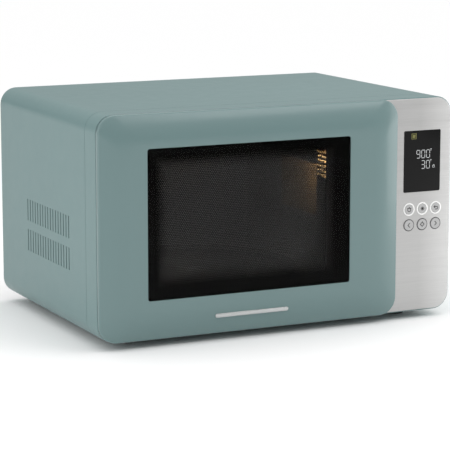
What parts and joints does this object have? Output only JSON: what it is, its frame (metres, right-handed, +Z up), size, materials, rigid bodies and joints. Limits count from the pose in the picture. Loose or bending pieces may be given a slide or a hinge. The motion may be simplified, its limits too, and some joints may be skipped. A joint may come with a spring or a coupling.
{
  "type": "microwave oven",
  "caption": "Countertop microwave oven, sage green, with a domed left-hinged door, dark window, steel control column, display, round buttons and glass turntable.",
  "frame": {"origin": "Centre of the overall footprint, on the surface that the feet stand on.", "axes": "+X to the right as seen from the front, +Y from the door to the back, +Z up."},
  "size_m": [0.49, 0.349, 0.286],
  "materials": {
    "sage_cabinet": "satin",
    "sage_moulding": "satin",
    "stainless": "brushed",
    "black_glass": "gloss",
    "clear_glass": "clear",
    "galvanised": "satin",
    "cavity_enamel": "satin",
    "black_plastic": "matte",
    "grey_plastic": "satin",
    "dark_grey_plastic": "satin",
    "white_plastic": "gloss",
    "circuit_board": "satin",
    "screen_steel": "matte",
    "mica": "matte",
    "copper_winding": "gloss",
    "core_steel": "matte",
    "aluminium": "satin",
    "lamp_glass": "clear",
    "badge_metal": "satin",
    "zinc_screw": "satin",
    "foot_plastic": "matte"
  },
  "bodies": {
    "cabinet": {"base_plate": "galvanised", "cabinet_screws": "zinc_screw", "cavity": "stainless", "cavity_front_plate": "cavity_enamel", "control_board": "circuit_board", "control_fascia": "stainless", "control_housing": "black_plastic", "cord_gland": "black_plastic", "display_lens": "black_glass", "fan_motor": "core_steel", "fan_shroud": "black_plastic", "foot_screws": "zinc_screw", "front_left_foot": "foot_plastic", "front_right_foot": "foot_plastic", "front_ring": "sage_moulding", "high_voltage_capacitor": "aluminium", "interlock_switches": "black_plastic", "lamp_bulb": "lamp_glass", "lamp_housing": "galvanised", "latch_board": "white_plastic", "lower_button_rings": "dark_grey_plastic", "lower_hinge": "galvanised", "magnetron_core": "aluminium", "magnetron_filter_box": "galvanised", "magnetron_yoke": "galvanised", "outer_cabinet": "sage_cabinet", "rear_left_foot": "foot_plastic", "rear_panel": "galvanised", "rear_right_foot": "foot_plastic", "transformer_core": "core_steel", "transformer_windings": "copper_winding", "turntable_motor": "galvanised", "upper_button_rings": "white_plastic", "upper_hinge": "galvanised", "waveguide": "galvanised", "waveguide_cover": "mica"},
    "door": {"door_skin": "sage_moulding", "door_glass": "black_glass", "door_frame": "cavity_enamel", "door_screen": "screen_steel", "inner_glass": "clear_glass", "choke_cover": "black_plastic", "door_hinge_arms": "galvanised", "blank_badge": "badge_metal"},
    "latch": {"door_latch": "white_plastic"},
    "turntable": {"glass_turntable": "clear_glass", "turntable_coupler": "white_plastic"},
    "roller_carrier": {"roller_ring": "white_plastic"},
    "cooling_fan": {"fan_blade": "white_plastic"},
    "roller_wheel_1": {"roller_1": "white_plastic"},
    "roller_wheel_2": {"roller_2": "white_plastic"},
    "roller_wheel_3": {"roller_3": "white_plastic"},
    "adjust_key": {"adjust_button": "grey_plastic"},
    "back_key": {"back_button": "grey_plastic"},
    "menu_key": {"menu_button": "grey_plastic"},
    "next_key": {"next_button": "grey_plastic"},
    "previous_key": {"previous_button": "grey_plastic"},
    "start_key": {"start_button": "grey_plastic"},
    "lower_switch_plunger": {"lower_plunger": "white_plastic"},
    "upper_switch_plunger": {"upper_plunger": "white_plastic"}
  },
  "joints": [
    {"name": "door_hinge", "type": "hinge", "parent": "cabinet", "child": "door", "pos_m": [-0.235, -0.144, 0.148], "axis": [0, 0, -1], "range_deg": [0, 100]},
    {"name": "latch_lift", "type": "slide", "parent": "door", "child": "latch", "axis": [0, 0, 1], "range_m": [0, 0.003], "stiffness_N_per_m": 200},
    {"name": "turntable_spin", "type": "hinge", "parent": "cabinet", "child": "turntable", "pos_m": [-0.0445, 0.009, 0.055], "axis": [0, 0, 1], "continuous": true},
    {"name": "roller_carrier_spin", "type": "hinge", "parent": "cabinet", "child": "roller_carrier", "pos_m": [-0.0445, 0.009, 0.055], "axis": [0, 0, 1], "continuous": true},
    {"name": "roller_wheel_1_spin", "type": "hinge", "parent": "roller_carrier", "child": "roller_wheel_1", "pos_m": [0.0455, 0.009, 0.04735], "axis": [1, 0, 0], "continuous": true},
    {"name": "roller_wheel_2_spin", "type": "hinge", "parent": "roller_carrier", "child": "roller_wheel_2", "pos_m": [-0.0895, 0.08694, 0.04735], "axis": [-0.5, 0.866, 0], "continuous": true},
    {"name": "roller_wheel_3_spin", "type": "hinge", "parent": "roller_carrier", "child": "roller_wheel_3", "pos_m": [-0.0895, -0.06894, 0.04735], "axis": [-0.5, -0.866, 0], "continuous": true},
    {"name": "fan_spin", "type": "hinge", "parent": "cabinet", "child": "cooling_fan", "pos_m": [0.178, 0.15, 0.178], "axis": [0, 1, 0], "continuous": true},
    {"name": "adjust_press", "type": "slide", "parent": "cabinet", "child": "adjust_key", "axis": [0, 1, 0], "range_m": [0, 0.0012], "stiffness_N_per_m": 400},
    {"name": "back_press", "type": "slide", "parent": "cabinet", "child": "back_key", "axis": [0, 1, 0], "range_m": [0, 0.0012], "stiffness_N_per_m": 400},
    {"name": "menu_press", "type": "slide", "parent": "cabinet", "child": "menu_key", "axis": [0, 1, 0], "range_m": [0, 0.0012], "stiffness_N_per_m": 400},
    {"name": "next_press", "type": "slide", "parent": "cabinet", "child": "next_key", "axis": [0, 1, 0], "range_m": [0, 0.0012], "stiffness_N_per_m": 400},
    {"name": "previous_press", "type": "slide", "parent": "cabinet", "child": "previous_key", "axis": [0, 1, 0], "range_m": [0, 0.0012], "stiffness_N_per_m": 400},
    {"name": "start_press", "type": "slide", "parent": "cabinet", "child": "start_key", "axis": [0, 1, 0], "range_m": [0, 0.0012], "stiffness_N_per_m": 400},
    {"name": "lower_plunger_press", "type": "slide", "parent": "cabinet", "child": "lower_switch_plunger", "axis": [0, 1, 0], "range_m": [0, 0.0015], "stiffness_N_per_m": 150},
    {"name": "upper_plunger_press", "type": "slide", "parent": "cabinet", "child": "upper_switch_plunger", "axis": [0, 1, 0], "range_m": [0, 0.0015], "stiffness_N_per_m": 150}
  ],
  "couplings": [
    {"joint": "roller_carrier_spin", "follows": "turntable_spin", "ratio": 0.5},
    {"joint": "roller_wheel_1_spin", "follows": "turntable_spin", "ratio": -6.4464},
    {"joint": "roller_wheel_2_spin", "follows": "turntable_spin", "ratio": -6.4464},
    {"joint": "roller_wheel_3_spin", "follows": "turntable_spin", "ratio": -6.4464}
  ]
}
